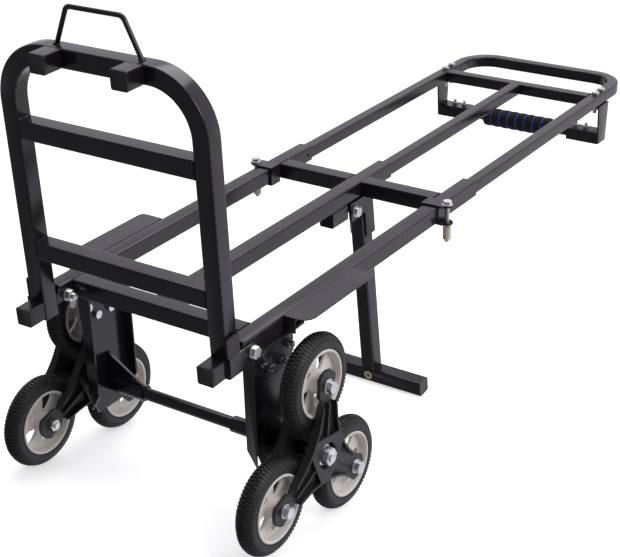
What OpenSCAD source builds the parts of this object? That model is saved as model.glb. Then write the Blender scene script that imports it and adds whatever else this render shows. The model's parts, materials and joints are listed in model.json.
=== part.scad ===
// Stair climbing trolley, laid down as a flat cart.
// +X runs along the deck from the toe frame to the far hoop, +Y is the left side, +Z is up.
// The origin is on the ground, under the middle of the object's length and width.

/* [Deck] */
// Angle by which the deck rises from the wheels to the far end
deck_pitch = 8.6; // [7.5:0.1:9.5]
// Half of the deck's width, to the outer faces of the outer tubes
deck_half_w = 184; // [175:1:240]
// Height of the deck's top face above the axle, square to the deck
deck_rise = 210; // [195:1:255]
// Far end of the three outer tubes, measured from the axle
outer_end_x = 581; // [540:1:700]
// Toe side of the middle crossbar
mid_cross_x = 479; // [470:1:500]
// Toe side of the front crossbar
front_cross_x = -66; // [-67:1:-60]
// Outer square tube
tube = 28; // [27:0.5:34]
// Wall of the outer square tube
tube_wall = 1.5; // [1.2:0.1:1.8]
// Outside corner radius of the square tubes
tube_round = 3; // [2.5:0.1:4]

/* [Telescoping frame] */
// Inner square tube
slide_tube = 22; // [18:0.5:23]
// Wall of the inner square tube
slide_wall = 1.5; // [1.2:0.1:2]
// Gap under the inner tube where it rests in the outer one
slide_gap = 0.3; // [0.3:0.1:1]
// Far end of the bent hoop, measured from the axle
hoop_end_x = 1252; // [1200:1:1510]
// Centreline radius of the hoop's corners
hoop_bend_r = 60; // [45:1:75]
// Toe side of the far crossbar
far_cross_x = 1093; // [1080:1:1110]
// Length of hoop leg held inside each outer tube
leg_overlap = 141; // [110:1:144]
// Length of centre tube held inside its outer tube
centre_overlap = 96; // [80:1:110]
// Wall of the hanging handle brackets
bracket_wall = 3; // [2:0.5:4]
// Height of the hanging handle brackets, below the inner tubes
bracket_h = 79; // [70:1:95]
// Length of each bracket's foot, towards the middle
bracket_foot = 70; // [60:1:80]
// Radius of the round handle bar
bar_r = 10; // [8:0.5:11]
// Radius of the foam grip
grip_r = 19; // [16:0.5:22]
// Length of the foam grip
grip_len = 152; // [120:1:170]

/* [Toe frame] */
// Lean of the toe frame away from square to the deck
toe_lean = 1.6; // [0:0.1:2.5]
// Height of the hoop above its hinge
toe_top = 413.5; // [380:0.5:500]
// Centreline radius of the hoop's corners
toe_bend_r = 78; // [60:1:95]
// Middle of the lower crossbar, above the hinge
toe_cross_1 = 95; // [80:1:130]
// Middle of the upper crossbar, above the hinge
toe_cross_2 = 282; // [230:1:300]
// How far the posts reach below the hinge
toe_drop = 20; // [18:0.5:24]
// Hinge position along the deck, from the axle
toe_pivot_x = -77; // [-79:0.5:-76.5]
// Hinge depth below the deck's top face
toe_pivot_z = 20; // [17:0.5:20]
// Distance from the hinge to the back faces of the posts
toe_pivot_back = 24; // [23.5:0.5:28]
// Length of the stubs on the toe frame
stub_len = 27; // [20:1:40]
// Half distance between the two upper stubs
upper_stub_y = 70; // [50:1:85]
// Radius of the wire handle's rod
wire_r = 3.5; // [3:0.5:5]
// Height of the wire handle above the hoop
wire_h = 58; // [45:1:80]

/* [Wheels] */
// Wheel radius
wheel_r = 75; // [73:0.5:76]
// Distance from the axle to each wheel's centre
star_r = 108; // [104:1:115]
// Gap between the deck's outer faces and the tyres
wheel_gap = 22.5; // [21:0.5:30]
// Half width of a tyre
tyre_half = 16.5; // [13:0.5:17.5]
// Radius where the tyre sits on its rim
rim_r = 51; // [42:1:54]
// Half length of a wheel's hub
wheel_hub_half = 18; // [17:0.5:18]
// Distance from a wheel's middle plane to the star castings
star_gap = 18.5; // [18.5:0.5:22]
// Thickness of a star casting over its ribs
star_t = 13.5; // [11:0.5:15]
// Thickness of a star casting at the ends of its arms
boss_t = 5.5; // [4:0.5:7]
// Radius of the ends of a star's arms
boss_r = 24; // [18:0.5:27]
// Distance from the axle to the hollow sides of a star
waist_r = 43; // [36:1:50]
// Radius of the axle
axle_r = 10; // [8:0.5:11]
// Radius of the bolts that carry the wheels
wheel_bolt_r = 5; // [4:0.5:5.5]
// Radial running clearance of turning parts
run_gap = 0.05; // [0.02:0.01:0.09]

/* [Side plates and guards] */
// Half width of the side plates along the deck
plate_half = 47; // [42:1:60]
// Distance of the side plates' outer faces inside the deck's outer faces
plate_inset = 20; // [19:1:28]
// Wall of the side plates
plate_wall = 3; // [2:0.5:4]
// Width of the flanges folded towards the middle
plate_flange = 20; // [14:1:26]
// Bottom of the side plates, below the axle
plate_drop = 42; // [36:1:48]
// Far end of the guard plates, from the axle
guard_end_x = 183; // [150:1:200]
// Width of the guard plates beyond the deck
guard_w = 43; // [30:1:55]

/* [Support leg] */
// Lean of the leg's foot away from square to the deck
leg_lean = 5.7; // [3:0.1:7]
// Leg pivot along the deck, from the axle
leg_pivot_x = 456; // [450:1:470]
// Leg pivot below the underside of the centre tube
leg_pivot_z = 18; // [18:0.5:22]
// Distance from the pivot to the toe side of the leg's post
leg_offset = 26; // [22:1:30]
// Half length of the foot bar
foot_half = 112; // [90:1:125]

/* [Hidden] */
$fn = 48;

BLACK = [0.09, 0.09, 0.1];
CASTING = [0.06, 0.06, 0.065];
ZINC = [0.78, 0.78, 0.76];
CREAM = [0.88, 0.85, 0.76];
RUBBER = [0.07, 0.07, 0.07];
RIM = [0.85, 0.84, 0.8];
FOAM = [0.05, 0.05, 0.06];

// Small gap between parts of different bodies, and thickness left over when a hole is cut through
gap = 0.4;
eps = 1;

// Fasteners: head or nut across flats and height, washer radius and thickness
bolt_flats = 13;
bolt_head_h = 5.5;
washer_r = 9;
washer_t = 1.5;

// Heights and lengths that follow from the driving sizes
axle_z = wheel_r + star_r / 2;
wheel_y = deck_half_w + wheel_gap + tyre_half;
plate_y = deck_half_w - plate_inset;
toe_half_w = deck_half_w - 2.5;
post_x = -toe_pivot_back - tube / 2;
slide_z = -tube / 2 - (tube - 2 * tube_wall - slide_tube) / 2 + slide_gap;
slide_y = deck_half_w - tube / 2;
slide_bottom = slide_z - slide_tube / 2;
toe_start_x = toe_pivot_x - toe_pivot_back + 4 * gap;
leg_z = -tube - leg_pivot_z;

// Where a point of the deck's side view comes in the ground's side view, before the origin is set
function ground_x(x, z) = x * cos(deck_pitch) - (z + deck_rise) * sin(deck_pitch);
function ground_z(x, z) = axle_z + x * sin(deck_pitch) + (z + deck_rise) * cos(deck_pitch);

// The object's two ends set the origin: the upper stub caps and the far hoop's lower edge
cap_t = 4;
stub_front = post_x - tube / 2 - stub_len - cap_t;
toe_end_x = toe_pivot_x + stub_front * cos(toe_lean) - toe_top * sin(toe_lean);
toe_end_z = -toe_pivot_z + stub_front * sin(toe_lean) + toe_top * cos(toe_lean);
origin_x = (ground_x(toe_end_x, toe_end_z) + ground_x(hoop_end_x, slide_bottom)) / 2;

// The leg stands on its foot bar's lower edge
leg_angle = deck_pitch + leg_lean;
leg_edge = leg_offset * sin(leg_angle) + tube_round * (sin(leg_angle) + cos(leg_angle) - 1);
leg_len = (ground_z(leg_pivot_x, leg_z) + leg_edge) / cos(leg_angle);

// ---- frames -------------------------------------------------------------------------------
module axle_frame() { translate([-origin_x, 0, axle_z]) children(); }
module deck_frame() { axle_frame() rotate([0, -deck_pitch, 0]) translate([0, 0, deck_rise]) children(); }
module toe_frame() {
    deck_frame() translate([toe_pivot_x, 0, -toe_pivot_z]) rotate([0, -toe_lean, 0]) children();
}
module leg_frame() {
    deck_frame() translate([leg_pivot_x, 0, leg_z]) rotate([0, -leg_lean, 0]) children();
}
module both() {
    children();
    mirror([0, 1, 0]) children();
}

// ---- square tube --------------------------------------------------------------------------
module round_square(s, r) {
    square([s - 2 * r, s], center = true);
    square([s, s - 2 * r], center = true);
    for (x = [-1, 1], y = [-1, 1]) translate([x * (s / 2 - r), y * (s / 2 - r)]) circle(r);
}
module section(s = tube, w = tube_wall) {
    difference() {
        round_square(s, tube_round);
        round_square(s - 2 * w, tube_round - w);
    }
}
module tube_x(x1, x2, s = tube, w = tube_wall) {
    translate([x1, 0, 0]) rotate([90, 0, 90]) linear_extrude(x2 - x1) section(s, w);
}
module tube_y(y1, y2, s = tube, w = tube_wall) {
    translate([0, y2, 0]) rotate([90, 0, 0]) linear_extrude(y2 - y1) section(s, w);
}
module tube_z(z1, z2, s = tube, w = tube_wall) {
    translate([0, 0, z1]) linear_extrude(z2 - z1) section(s, w);
}
// A quarter bend about Z, from the +X direction round to +Y
module bend(r, s = tube, w = tube_wall) {
    rotate_extrude(angle = 90, $fn = 96) translate([r, 0]) section(s, w);
}
module box(x1, x2, y1, y2, z1, z2) {
    translate([x1, y1, z1]) cube([x2 - x1, y2 - y1, z2 - z1]);
}

// ---- fasteners, with the shank along +Z from under the head ---------------------------------
module hex(flats, h) { cylinder(h = h, r = flats / 2 / cos(30), $fn = 6); }
module bolt(r, len, flats = bolt_flats, head_h = bolt_head_h) {
    translate([0, 0, -head_h]) hex(flats, head_h);
    cylinder(h = len, r = r);
}
module nut(r, flats = bolt_flats, h = bolt_head_h) {
    difference() {
        hex(flats, h);
        translate([0, 0, -eps]) cylinder(h = h + 2 * eps, r = r);
    }
}
module washer(r, r_out = washer_r, t = washer_t) {
    difference() {
        cylinder(h = t, r = r_out);
        translate([0, 0, -eps]) cylinder(h = t + 2 * eps, r = r);
    }
}
module hole_y(x, z, r, y1, y2) { translate([x, y1, z]) rotate([-90, 0, 0]) cylinder(h = y2 - y1, r = r); }
module hole_z(x, y, r, z1, z2) { translate([x, y, z1]) cylinder(h = z2 - z1, r = r); }

// ---- main frame -----------------------------------------------------------------------------
hinge_bolt_r = 5;
hinge_gap = 0.06;
clamp_x = mid_cross_x - 19;
clamp_half = 13;
clamp_bolt_y = deck_half_w + 10;
clamp_bolt_r = 4;
end_hole_r = 3;

// The toe end is rounded about the hinge, so that the posts can swing over it
module outer_tube() {
    color(BLACK) deck_frame() difference() {
        translate([0, slide_y, -tube / 2]) tube_x(toe_start_x, outer_end_x);
        difference() {
            box(toe_start_x - eps, toe_pivot_x, slide_y - tube, slide_y + tube, -toe_pivot_z, eps);
            hole_y(toe_pivot_x, -toe_pivot_z, toe_pivot_back - gap, slide_y - tube, slide_y + tube);
        }
        hole_y(toe_pivot_x, -toe_pivot_z, hinge_bolt_r, slide_y - tube, slide_y + tube);
        hole_y(outer_end_x - 12, -tube / 2, end_hole_r, slide_y - tube, slide_y);
    }
}
module outer_tube_left() { outer_tube(); }
module outer_tube_right() { mirror([0, 1, 0]) outer_tube(); }
module centre_tube() {
    color(BLACK) deck_frame() translate([0, 0, -tube / 2]) tube_x(front_cross_x + tube, outer_end_x);
}
module front_crossbar() {
    inner = deck_half_w - tube;
    color(BLACK) deck_frame() translate([front_cross_x + tube / 2, 0, -tube / 2]) tube_y(-inner, inner);
}
module middle_crossbars() {
    color(BLACK) deck_frame() both() translate([mid_cross_x + tube / 2, 0, -tube / 2])
        tube_y(tube / 2, deck_half_w - tube);
}

// Folded plate round the outer tube, pulled tight by a long bolt on its open side
module clamp_half_plate() {
    y_in = deck_half_w - tube - 4;
    y_out = clamp_bolt_y + 10;
    difference() {
        union() {
            for (z = [0, -tube - 3]) {
                box(clamp_x - clamp_half, clamp_x + clamp_half, y_in, clamp_bolt_y, z, z + 3);
                hole_z(clamp_x, clamp_bolt_y, y_out - clamp_bolt_y, z, z + 3);
            }
            box(clamp_x - clamp_half, clamp_x + clamp_half, y_in, y_in + 4, -tube - 3, 3);
        }
        hole_z(clamp_x, clamp_bolt_y, clamp_bolt_r, -tube - 4, 4);
    }
}
module clamps() { color(BLACK) deck_frame() both() clamp_half_plate(); }
clamp_bolt_len = tube + 6 + washer_t + 32;
module clamp_bolts() {
    top = 3 + washer_t;
    color(ZINC) deck_frame() both() {
        translate([clamp_x, clamp_bolt_y, top]) mirror([0, 0, 1]) bolt(clamp_bolt_r, clamp_bolt_len);
        translate([clamp_x, clamp_bolt_y, 3]) washer(clamp_bolt_r);
        translate([clamp_x, clamp_bolt_y, -tube - 3 - bolt_head_h]) nut(clamp_bolt_r);
    }
}
module clamp_sleeves() {
    top = -tube - 3 - bolt_head_h;
    color(CREAM) deck_frame() both() difference() {
        hole_z(clamp_x, clamp_bolt_y, 7, top - 22, top);
        hole_z(clamp_x, clamp_bolt_y, clamp_bolt_r, top - 23, top + 1);
    }
}

// Horizontal plate over the wheels, with rounded outer corners and a tab folded down at its toe end
module guard() {
    start = 2;
    corner = 22;
    small = 9;
    outer = deck_half_w + guard_w;
    color(BLACK) deck_frame() {
        translate([0, 0, -2]) linear_extrude(2) union() {
            translate([start, deck_half_w]) square([guard_end_x - start, guard_w - corner]);
            translate([start + corner, deck_half_w]) square([guard_end_x - start - corner - small, guard_w]);
            translate([guard_end_x - 2 * small, deck_half_w]) square([2 * small, guard_w - small]);
            translate([start + corner, outer - corner]) circle(corner);
            translate([guard_end_x - small, outer - small]) circle(small);
        }
        box(start, start + 2, deck_half_w, deck_half_w + 20, -25, -2);
    }
}
module guard_left() { guard(); }
module guard_right() { mirror([0, 1, 0]) guard(); }

// ---- side plates, lugs and axle ----------------------------------------------------------------
lug_wall = 4;
plate_top = -tube - lug_wall;
bolt_rows = [[34, -63], [15, -82]];
hub_recess = 8;
axle_end = wheel_y + star_gap + star_t - hub_recess + gap;

module plate_outline() {
    bottom = -deck_rise - plate_drop;
    polygon([[-plate_half, plate_top], [-plate_half, -deck_rise], [-plate_half + 16, bottom],
        [plate_half - 16, bottom], [plate_half, -deck_rise], [plate_half, plate_top]]);
}
module upright(y1, y2) { translate([0, y2, 0]) rotate([90, 0, 0]) linear_extrude(y2 - y1) children(); }
module plate_bolt_holes(y1, y2, r) {
    for (p = bolt_rows, s = [-1, 1]) hole_y(s * p[0], p[1], r, y1, y2);
}
module side_plate() {
    web = plate_y - plate_wall;
    color(BLACK) deck_frame() difference() {
        union() {
            upright(web, plate_y) plate_outline();
            for (s = [-1, 1]) intersection() {
                box(s * plate_half - (s > 0 ? plate_wall : 0), s * plate_half + (s > 0 ? 0 : plate_wall),
                    plate_y - plate_flange, web, -deck_rise - 35, plate_top);
                rotate([90, 0, 90]) linear_extrude(2 * plate_half + eps, center = true)
                    polygon([[plate_y, plate_top], [plate_y - plate_flange, plate_top],
                        [plate_y - plate_flange, -deck_rise - 2], [plate_y, -deck_rise - 35]]);
            }
        }
        hole_y(0, -deck_rise, axle_r, web - eps, plate_y + eps);
        hole_y(plate_half - 17, -deck_rise - 26, 3, web - eps, plate_y + eps);
        plate_bolt_holes(web - eps, plate_y + eps, 4);
    }
}
module side_plate_left() { side_plate(); }
module side_plate_right() { mirror([0, 1, 0]) side_plate(); }

// Angle welded under each outer tube, to which a side plate is bolted
module frame_lugs() {
    color(BLACK) deck_frame() both() difference() {
        union() {
            box(-plate_half, plate_half, plate_y, deck_half_w + 5, -tube - lug_wall, -tube);
            upright(plate_y, plate_y + lug_wall) polygon([[-plate_half, -tube - lug_wall],
                [-plate_half, -80], [-24, -98], [24, -98], [plate_half, -80],
                [plate_half, -tube - lug_wall]]);
        }
        plate_bolt_holes(plate_y - eps, plate_y + lug_wall + eps, 4);
    }
}
module side_plate_bolts() {
    grip_t = plate_wall + lug_wall;
    color(ZINC) deck_frame() both() for (p = bolt_rows, s = [-1, 1])
        translate([s * p[0], plate_y - plate_wall, p[1]]) rotate([-90, 0, 0]) {
            bolt(4, grip_t + 10);
            translate([0, 0, grip_t]) nut(4);
        }
}
module axle() { color(BLACK) deck_frame() hole_y(0, -deck_rise, axle_r, -axle_end, axle_end); }
sleeve_start = 86;
sleeve_r = axle_r + 3;
module axle_sleeves() {
    color(BLACK) deck_frame() both() difference() {
        hole_y(0, -deck_rise, sleeve_r, sleeve_start, plate_y - plate_wall);
        hole_y(0, -deck_rise, axle_r, sleeve_start - eps, plate_y);
    }
}
module axle_gusset() {
    y = plate_y - plate_wall;
    color(BLACK) deck_frame() difference() {
        translate([-2, 0, 0]) rotate([90, 0, 90]) linear_extrude(4)
            polygon([[y, -deck_rise + 56], [y, -deck_rise], [sleeve_start + 3, -deck_rise],
                [sleeve_start + 3, -deck_rise + sleeve_r]]);
        hole_y(0, -deck_rise, sleeve_r, 0, y + eps);
    }
}
hub_nut_flats = 24;
hub_stub_r = 8;
module hub_nuts() {
    color(ZINC) deck_frame() both() translate([0, axle_end, -deck_rise]) rotate([-90, 0, 0]) {
        washer(0.5, 16, 2);
        translate([0, 0, 2]) hex(hub_nut_flats, 13);
        translate([0, 0, 15]) cylinder(h = 2.5, r = hub_stub_r);
    }
}
bush_r = axle_r + 2.5;
module star_bushes() {
    y1 = plate_y + lug_wall;
    color(BLACK) deck_frame() both() difference() {
        hole_y(0, -deck_rise, bush_r, y1, axle_end);
        hole_y(0, -deck_rise, axle_r, y1 - eps, axle_end + eps);
    }
}

// ---- support leg --------------------------------------------------------------------------------
ear_t = 3;
ear_y = tube / 2 + gap;
leg_back = leg_offset + tube + gap;

// Channel under the centre tube: two ears and a back web that the leg leans on
module ear_outline() {
    polygon([[-13, 30], [leg_back + ear_t, 30], [leg_back + ear_t, -66], [leg_offset + 4, -66],
        [leg_offset + 4, -16], [-13, -16]]);
}
module leg_bracket() {
    cut = 2 * leg_pivot_x;
    color(BLACK) difference() {
        leg_frame() difference() {
            union() {
                for (s = [-1, 1]) translate([0, s * (ear_y + ear_t / 2) + ear_t / 2, 0])
                    rotate([90, 0, 0]) linear_extrude(ear_t) ear_outline();
                box(leg_back, leg_back + ear_t, -ear_y - ear_t, ear_y + ear_t, -66, 30);
            }
            hole_y(0, 0, wheel_bolt_r, -tube, tube);
        }
        deck_frame() box(0, cut, -tube, tube, -tube, tube);
    }
}
stop_end = leg_pivot_x - 18;
module leg_stop() {
    color(BLACK) deck_frame() translate([0, 0, -1.5 * tube]) {
        tube_x(stop_end - 43, stop_end);
        rotate([90, 0, 90]) translate([0, 0, stop_end - 43 - cap_t])
            linear_extrude(cap_t) round_square(tube, tube_round);
    }
}
module leg_pivot_bolt() {
    half = ear_y + ear_t;
    color(ZINC) leg_frame() translate([0, -half, 0]) rotate([-90, 0, 0]) {
        translate([0, 0, -washer_t]) bolt(wheel_bolt_r, 2 * half + washer_t + 12, 16, 6.5);
        translate([0, 0, -washer_t]) washer(wheel_bolt_r, 10);
        translate([0, 0, 2 * half]) nut(wheel_bolt_r, 16, 8);
    }
}
lug_half = 12;
module leg_post() {
    bottom = -leg_len + tube;
    color(BLACK) leg_frame() difference() {
        union() {
            translate([leg_offset + tube / 2, 0, 0]) tube_z(bottom, 0);
            box(-lug_half, leg_offset + tube / 2, -tube / 2, tube / 2, -lug_half, lug_half);
            box(leg_offset, leg_offset + tube / 2, -tube / 2, tube / 2, -tube, 0);
        }
        box(-lug_half - eps, leg_offset - 3, -tube / 2 + 3, tube / 2 - 3, -lug_half - eps, lug_half - 3);
        hole_y(0, 0, wheel_bolt_r + hinge_gap, -tube, tube);
    }
}
module leg_foot() {
    color(BLACK) leg_frame() difference() {
        translate([leg_offset + tube / 2, 0, -leg_len + tube / 2])
            tube_y(-foot_half + cap_t, foot_half - cap_t);
        translate([leg_offset - eps, 0, -leg_len + tube / 2]) rotate([0, 90, 0]) cylinder(h = 6, r = 6);
    }
}
module leg_foot_caps() {
    color(BLACK) leg_frame() both()
        translate([leg_offset + tube / 2, foot_half, -leg_len + tube / 2])
            rotate([90, 0, 0]) linear_extrude(cap_t) round_square(tube, tube_round);
}
module leg_grommet() {
    color(CREAM) leg_frame() translate([leg_offset - 1.5, 0, -leg_len + tube / 2]) rotate([0, 90, 0])
        difference() {
            union() {
                cylinder(h = 1.5, r = 8.5);
                cylinder(h = 6, r = 6);
            }
            translate([0, 0, -eps]) cylinder(h = 8, r = 3.5);
        }
}

// ---- toe frame ------------------------------------------------------------------------------------
toe_y = toe_half_w - tube / 2;
module toe_hoop() {
    top = toe_top - tube / 2;
    color(BLACK) toe_frame() translate([post_x, 0, 0]) {
        both() {
            translate([0, toe_y, 0]) tube_z(-toe_drop, top - toe_bend_r);
            translate([0, toe_y - toe_bend_r, top - toe_bend_r]) rotate([90, 0, 90]) bend(toe_bend_r);
        }
        translate([0, 0, top]) tube_y(toe_bend_r - toe_y, toe_y - toe_bend_r);
    }
}
module toe_crossbars() {
    inner = toe_half_w - tube;
    color(BLACK) toe_frame() for (z = [toe_cross_1, toe_cross_2])
        translate([post_x, 0, z]) tube_y(-inner, inner);
}
// Short square stubs: two under the hoop's top bar, two at the foot of the posts
lower_stub_z = -3.5;
stub_places = [[upper_stub_y, toe_top - tube / 2], [toe_y, lower_stub_z]];
module toe_stubs() {
    color(BLACK) toe_frame() both() for (p = stub_places)
        translate([0, p[0], p[1]]) tube_x(stub_front + cap_t, post_x - tube / 2);
}
module toe_stub_caps() {
    color(BLACK) toe_frame() both() for (p = stub_places)
        translate([stub_front, p[0], p[1]]) rotate([90, 0, 90])
            linear_extrude(cap_t) round_square(tube, tube_round);
}
// Bent rod: two slanted legs, two round bends and a straight top, cut flat where it is welded on.
// The bends swell by wire_swell, and the straight rods reach wire_in into them
wire_foot_y = 73;
wire_top_y = 48;
wire_bend_r = 10;
wire_swell = 0.2;
wire_in = 1;
module toe_wire_handle() {
    top = wire_h - wire_r;
    lean = atan2(wire_foot_y - wire_top_y, top);
    cut = wire_bend_r * tan((90 - lean) / 2);
    leg = norm([wire_foot_y - wire_top_y, top]) - cut;
    color(BLACK) toe_frame() translate([post_x, 0, toe_top]) difference() {
        union() {
            both() {
                translate([0, wire_foot_y, 0]) rotate([lean, 0, 0])
                    translate([0, 0, -2 * wire_r]) cylinder(h = leg + wire_in + 2 * wire_r, r = wire_r);
                translate([0, wire_top_y - cut, top - wire_bend_r]) rotate([90, 0, 90]) rotate(lean)
                    rotate_extrude(angle = 90 - lean) translate([wire_bend_r, 0]) circle(wire_r + wire_swell);
            }
            hole_y(0, top, wire_r, cut - wire_top_y - wire_in, wire_top_y - cut + wire_in);
        }
        box(-2 * wire_r, 2 * wire_r, -wire_foot_y - 20, wire_foot_y + 20, -20, 0);
    }
}
pad_y = deck_half_w + gap;
module toe_hinge_plates() {
    front = post_x - tube / 2;
    ear_r = 13;
    color(BLACK) toe_frame() both() difference() {
        union() {
            box(front, post_x + tube / 2, toe_half_w, pad_y, -toe_drop, 42);
            box(front, 0, pad_y, pad_y + 3, -toe_drop + 2, ear_r);
            hole_y(0, 0, ear_r, pad_y, pad_y + 3);
        }
        hole_y(0, 0, hinge_bolt_r + hinge_gap, pad_y - eps, pad_y + 3 + eps);
    }
}
module toe_hinge_bolts() {
    outer = pad_y + 3 + gap;
    shank = outer + washer_t - (deck_half_w - tube) + 16;
    color(ZINC) toe_frame() both() translate([0, outer, 0]) rotate([90, 0, 0]) {
        translate([0, 0, -washer_t]) {
            bolt(hinge_bolt_r, shank, 16, 6.5);
            washer(hinge_bolt_r, 10);
        }
        translate([0, 0, outer - deck_half_w + tube]) {
            washer(hinge_bolt_r, 10);
            translate([0, 0, washer_t]) nut(hinge_bolt_r, 16, 8);
        }
    }
}

// ---- telescoping frame ----------------------------------------------------------------------------
module upper_hoop() {
    corner_x = hoop_end_x - slide_tube / 2 - hoop_bend_r;
    color(BLACK) deck_frame() translate([0, 0, slide_z]) difference() {
        union() {
            both() {
                translate([0, slide_y, 0])
                    tube_x(outer_end_x - leg_overlap, corner_x, slide_tube, slide_wall);
                translate([corner_x, slide_y - hoop_bend_r, 0]) bend(hoop_bend_r, slide_tube, slide_wall);
            }
            translate([hoop_end_x - slide_tube / 2, 0, 0])
                tube_y(hoop_bend_r - slide_y, slide_y - hoop_bend_r, slide_tube, slide_wall);
        }
        for (x = bracket_xs, s = [-1, 1]) hole_z(x, s * slide_y, 4, -slide_tube, slide_tube);
    }
}
module centre_slider() {
    color(BLACK) deck_frame() translate([0, 0, slide_z])
        tube_x(outer_end_x - centre_overlap, far_cross_x, slide_tube, slide_wall);
}
module far_crossbar() {
    inner = slide_y - slide_tube / 2;
    color(BLACK) deck_frame() translate([far_cross_x + slide_tube / 2, 0, slide_z])
        tube_y(-inner, inner, slide_tube, slide_wall);
}
// Hanging brackets: a flange under the hoop's leg, an upright web, and a channel foot for the bar
bracket_x1 = far_cross_x + 6;
bracket_x2 = bracket_x1 + 46;
bracket_xs = [bracket_x1 + 10, bracket_x2 - 9];
foot_top = slide_bottom - bracket_h + 24;
foot_x2 = bracket_x1 + 34;
bar_x = bracket_x1 + 19;
bar_z = foot_top - bracket_wall - bar_r;
bar_bolt_ys = [slide_y - 20, slide_y - 42];
module handle_brackets() {
    outer = slide_y + slide_tube / 2;
    w = bracket_wall;
    low = slide_bottom - bracket_h;
    inner = outer + w - bracket_foot;
    color(BLACK) deck_frame() both() difference() {
        union() {
            box(bracket_x1, bracket_x2, outer - slide_tube, outer + w, slide_bottom - w, slide_bottom);
            upright(outer, outer + w) polygon([[bracket_x1, slide_bottom], [bracket_x1 + 4, low],
                [bracket_x2 - 8, low], [bracket_x2, slide_bottom]]);
            box(bracket_x1 + 3, foot_x2, inner, outer, foot_top - w, foot_top);
            box(bracket_x1 + 3, bracket_x1 + 3 + w, inner, outer, low, foot_top);
        }
        for (x = bracket_xs) hole_z(x, slide_y, 4, slide_bottom - 5, slide_bottom + eps);
        for (y = bar_bolt_ys) hole_z(bar_x, y, 3, foot_top - 5, foot_top + eps);
    }
}
module bracket_bolts() {
    color(ZINC) deck_frame() both() for (x = bracket_xs) {
        translate([x, slide_y, slide_z + slide_tube / 2]) mirror([0, 0, 1]) bolt(4, slide_tube + 16);
        translate([x, slide_y, slide_bottom - bracket_wall - bolt_head_h]) nut(4);
    }
}
module handle_bar() {
    end = slide_y + slide_tube / 2;
    color(BLACK) deck_frame() difference() {
        hole_y(bar_x, bar_z, bar_r, -end, end);
        hole_y(bar_x, bar_z, bar_r - 2, -end - eps, end + eps);
        for (y = bar_bolt_ys, s = [-1, 1]) hole_z(bar_x, s * y, 3, bar_z - 2 * bar_r, bar_z + 2 * bar_r);
    }
}
module handle_bar_bolts() {
    color(ZINC) deck_frame() both() for (y = bar_bolt_ys) translate([bar_x, y, 0]) {
        translate([0, 0, bar_z - bar_r]) bolt(3, 2 * bar_r + bracket_wall + 11, 10, 4);
        translate([0, 0, foot_top]) nut(3, 10, 5);
    }
}
module grip() {
    color(FOAM) deck_frame() difference() {
        hole_y(bar_x, bar_z, grip_r, -grip_len / 2, grip_len / 2);
        hole_y(bar_x, bar_z, bar_r, -grip_len / 2 - eps, grip_len / 2 + eps);
    }
}

// ---- stars and wheels -------------------------------------------------------------------------------
rib_t = 4;
hub_flat = 31;
recess_r = 20;
notch_c = star_r * cos(60);
notch_s = star_r * sin(60);
arm_end = boss_r - 5;
notch_far = waist_r - notch_c;
notch_r = (pow(notch_far, 2) + pow(notch_s, 2) - pow(arm_end, 2)) / (2 * (arm_end - notch_far));
function arm(k) = [star_r * sin(120 * k), star_r * cos(120 * k)];

// Three arms with hollow sides; a larger shrink gives the pocket inside the edge rib
module star_outline(shrink = 0) {
    difference() {
        union() {
            polygon([for (k = [0:2]) arm(k)]);
            for (k = [0:2]) translate(arm(k)) circle(boss_r - shrink);
        }
        for (k = [0:2]) rotate(60 - 120 * k)
            translate([0, notch_r + waist_r]) circle(notch_r + shrink, $fn = 96);
    }
}
module star_bores(y1, y2) {
    hole_y(0, 0, bush_r + run_gap, y1, y2);
    for (k = [0:2]) hole_y(arm(k)[0], arm(k)[1], wheel_bolt_r, y1, y2);
}
// A casting from its face next to the wheels, at y = 0, outwards to its ribs at y = star_t
module star_casting() {
    difference() {
        union() {
            upright(0, boss_t) star_outline();
            upright(0, star_t) difference() {
                star_outline();
                star_outline(rib_t);
            }
            upright(0, star_t) intersection() {
                star_outline();
                rotate(30) circle(2 * hub_flat, $fn = 3);
            }
            for (k = [0:2]) rotate([0, 120 * k, 0]) box(-2, 2, 0, star_t - 1.5, 0, star_r - boss_r);
        }
        upright(star_t - hub_recess, star_t + eps) rotate(22.5) circle(recess_r / cos(22.5), $fn = 8);
        for (k = [0:2]) hole_y(arm(k)[0], arm(k)[1], boss_r + 1.5, boss_t, star_t + eps);
        star_bores(-eps, star_t + eps);
    }
}
module star_outer() {
    color(CASTING) axle_frame() translate([0, wheel_y + star_gap, 0]) star_casting();
}
module star_inner() {
    y1 = plate_y + lug_wall + 2;
    y2 = wheel_y - star_gap - star_t + hub_recess;
    color(CASTING) axle_frame() {
        translate([0, wheel_y - star_gap, 0]) mirror([0, 1, 0]) star_casting();
        difference() {
            hole_y(0, 0, bush_r + 5, y1, y2);
            hole_y(0, 0, bush_r + run_gap, y1 - eps, y2 + eps);
        }
    }
}
spacer_r = wheel_bolt_r + 2;
// Each wheel runs on a spacer tube that its bolt clamps between the two castings
module wheel_axles() {
    y1 = wheel_y - star_gap - boss_t;
    y2 = wheel_y + star_gap + boss_t;
    t = 2.5;
    color(ZINC) axle_frame() for (k = [0:2]) translate([arm(k)[0], 0, arm(k)[1]]) {
        translate([0, y2 + t, 0]) rotate([90, 0, 0]) bolt(wheel_bolt_r, y2 - y1 + t + 12, 17, 9);
        translate([0, y2 + t, 0]) rotate([90, 0, 0]) washer(wheel_bolt_r, 11, t);
        translate([0, y1, 0]) rotate([90, 0, 0]) nut(wheel_bolt_r, 17, 8);
        difference() {
            hole_y(0, 0, spacer_r, wheel_y - star_gap, wheel_y + star_gap);
            hole_y(0, 0, wheel_bolt_r, y1, y2);
        }
    }
}
module wheel_frame(k) {
    axle_frame() translate([arm(k)[0], wheel_y, arm(k)[1]]) rotate([90, 0, 0]) children();
}
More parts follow.
